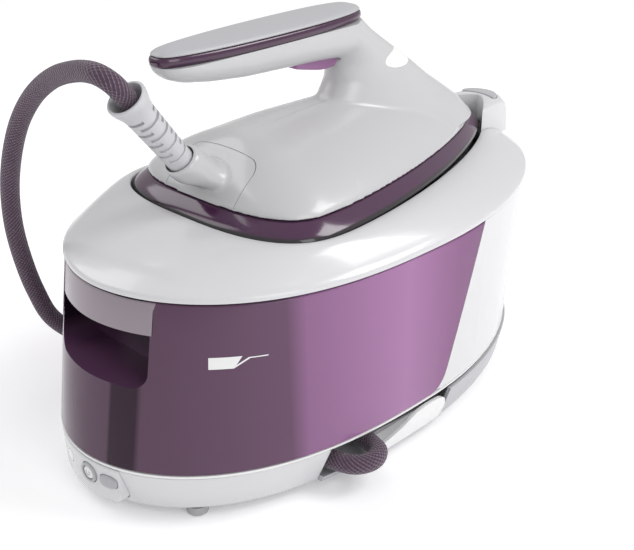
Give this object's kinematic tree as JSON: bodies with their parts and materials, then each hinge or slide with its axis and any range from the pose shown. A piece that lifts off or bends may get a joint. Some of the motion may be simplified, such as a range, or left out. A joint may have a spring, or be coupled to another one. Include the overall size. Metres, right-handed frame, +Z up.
{
  "type": "steam generator iron",
  "caption": "Boat-shaped steam station with a slide-out translucent water tank, a folded hose and a lift-off steam iron resting on top.",
  "frame": {"origin": "on the standing surface, under the middle of the object's box measured without the steam hose", "axes": "+Z up; -Y is the front with the controls and the tank grip; +Y is the rear where the iron's tip points; +X is the side with the hose clip"},
  "size_m": [0.2403, 0.3818, 0.2598],
  "materials": {
    "shell_white": "white glossy moulded plastic",
    "clip_white": "bright white glossy plastic",
    "light_grey_plastic": "light grey satin plastic",
    "mid_grey_plastic": "mid grey satin plastic",
    "tank_violet": "translucent violet plastic, polished",
    "deep_violet": "dark translucent violet plastic, polished",
    "black_plastic": "black heat-proof plastic",
    "foot_rubber": "grey rubber",
    "black_rubber": "black rubber",
    "sole_aluminium": "polished aluminium",
    "steel": "plain steel",
    "brass": "turned brass",
    "board": "green circuit board",
    "hose_textile": "braided dark violet textile with light flecks",
    "lamp_white": "milky lamp lens"
  },
  "bodies": {
    "base": {"foot_front_left": "foot_rubber", "foot_front_right": "foot_rubber", "foot_rear_left": "foot_rubber", "foot_rear_right": "foot_rubber", "rear_tray": "light_grey_plastic", "hose_clip": "clip_white", "front_skirt": "shell_white", "slot_wall": "light_grey_plastic", "body_deck": "shell_white", "centre_support": "light_grey_plastic", "hose_outlet": "mid_grey_plastic", "control_panel": "shell_white", "panel_lamp": "lamp_white", "power_ring": "light_grey_plastic", "tank_coupling": "light_grey_plastic", "rear_shell": "shell_white", "mains_gland": "black_rubber", "inner_frame": "light_grey_plastic", "boiler": "steel", "boiler_heater": "sole_aluminium", "steam_valve": "brass", "water_pump": "mid_grey_plastic", "control_board": "board", "steam_riser": "brass", "water_pipe": "black_rubber", "steam_pipe": "steel", "inlet_pipe": "black_rubber", "top_cover": "shell_white", "rest_plate": "black_plastic", "rest_pad_heel": "black_rubber", "rest_pad_tip": "black_rubber", "lock_housing": "shell_white", "steam_hose": "hose_textile"},
    "tank": {"water_tank": "tank_violet", "tank_lid": "tank_violet", "tank_cap": "deep_violet", "tank_valve": "black_rubber"},
    "iron": {"soleplate": "sole_aluminium", "steam_chamber": "sole_aluminium", "heat_shield": "black_plastic", "trim_band": "deep_violet", "iron_housing": "shell_white", "heel_cover": "shell_white", "strain_relief": "light_grey_plastic", "hose_collar": "mid_grey_plastic", "handle_ring": "deep_violet", "handle_cover": "light_grey_plastic", "light_window": "lamp_white", "trigger_pin": "steel", "trigger_switch": "black_plastic"},
    "trigger": {"steam_trigger": "tank_violet"},
    "power_key": {"power_button": "clip_white"},
    "oval_key": {"oval_button": "mid_grey_plastic"},
    "lock_key": {"lock_button": "light_grey_plastic"},
    "latch": {"lock_latch": "mid_grey_plastic"}
  },
  "joints": [
    {"name": "tank_slide", "type": "slide", "parent": "base", "child": "tank", "axis": [0, -1, 0], "range_m": [0, 0.24]},
    {"name": "iron_lift", "type": "slide", "parent": "base", "child": "iron", "axis": [0, 0, 1], "range_m": [0, 0.1], "deforming": ["steam_hose"]},
    {"name": "steam_trigger_hinge", "type": "hinge", "parent": "iron", "child": "trigger", "pos_m": [0, 0.0113, 0.231], "axis": [-1, 0, 0], "range_deg": [0, 4], "stiffness_Nm_per_rad": 0.6},
    {"name": "power_button_slide", "type": "slide", "parent": "base", "child": "power_key", "axis": [-0.0357, 0.9988, 0.033], "range_m": [0, 0.0015], "stiffness_N_per_m": 900},
    {"name": "oval_button_slide", "type": "slide", "parent": "base", "child": "oval_key", "axis": [-0.2431, 0.9694, 0.0333], "range_m": [0, 0.0015], "stiffness_N_per_m": 900},
    {"name": "lock_button_slide", "type": "slide", "parent": "base", "child": "lock_key", "axis": [0, 0, -1], "range_m": [0, 0.0035]},
    {"name": "latch_slide", "type": "slide", "parent": "base", "child": "latch", "axis": [0, -1, 0], "range_m": [0, 0.0115]}
  ],
  "couplings": [
    {"joint": "latch_slide", "follows": "lock_button_slide", "ratio": 3}
  ]
}
